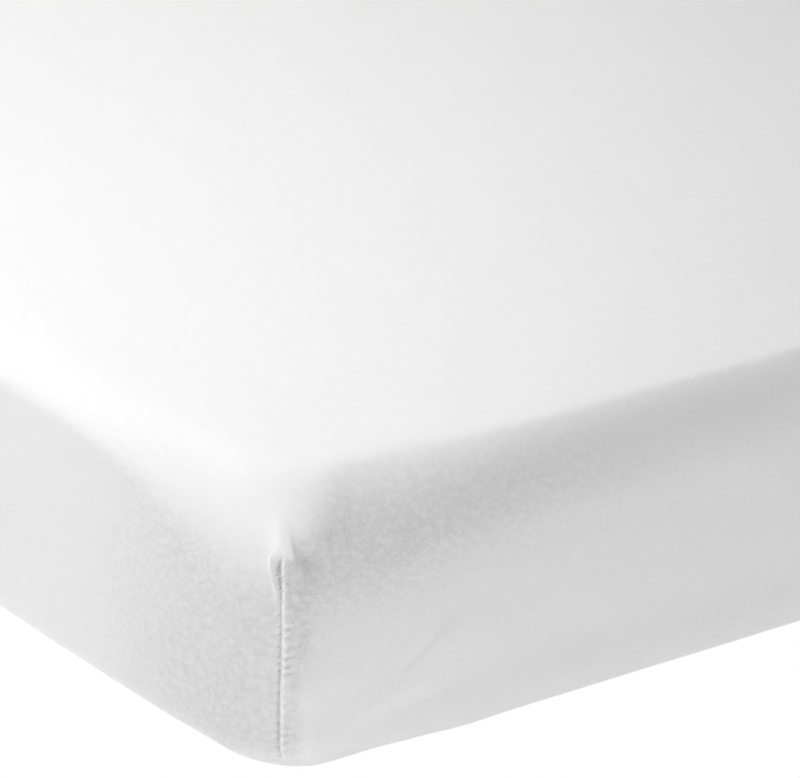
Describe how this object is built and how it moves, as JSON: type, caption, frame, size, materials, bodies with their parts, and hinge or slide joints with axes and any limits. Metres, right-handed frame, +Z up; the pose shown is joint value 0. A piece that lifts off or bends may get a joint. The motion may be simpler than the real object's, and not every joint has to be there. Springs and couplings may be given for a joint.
{
  "type": "fitted sheet on cot mattress",
  "caption": "White cotton jersey fitted sheet stretched over a cot mattress, with a dart seam down each corner and its hem drawn in underneath.",
  "frame": {"origin": "on the floor, under the middle of the mattress", "axes": "+X along the mattress, +Y across it, +Z up out of its top"},
  "size_m": [1.2018, 0.6021, 0.1],
  "materials": {
    "jersey": "matt single jersey knit of white cotton, with a slight nap",
    "ticking": "plain off-white woven ticking"
  },
  "bodies": {
    "root": {"fitted_sheet": "jersey", "mattress": "ticking"}
  },
  "joints": []
}
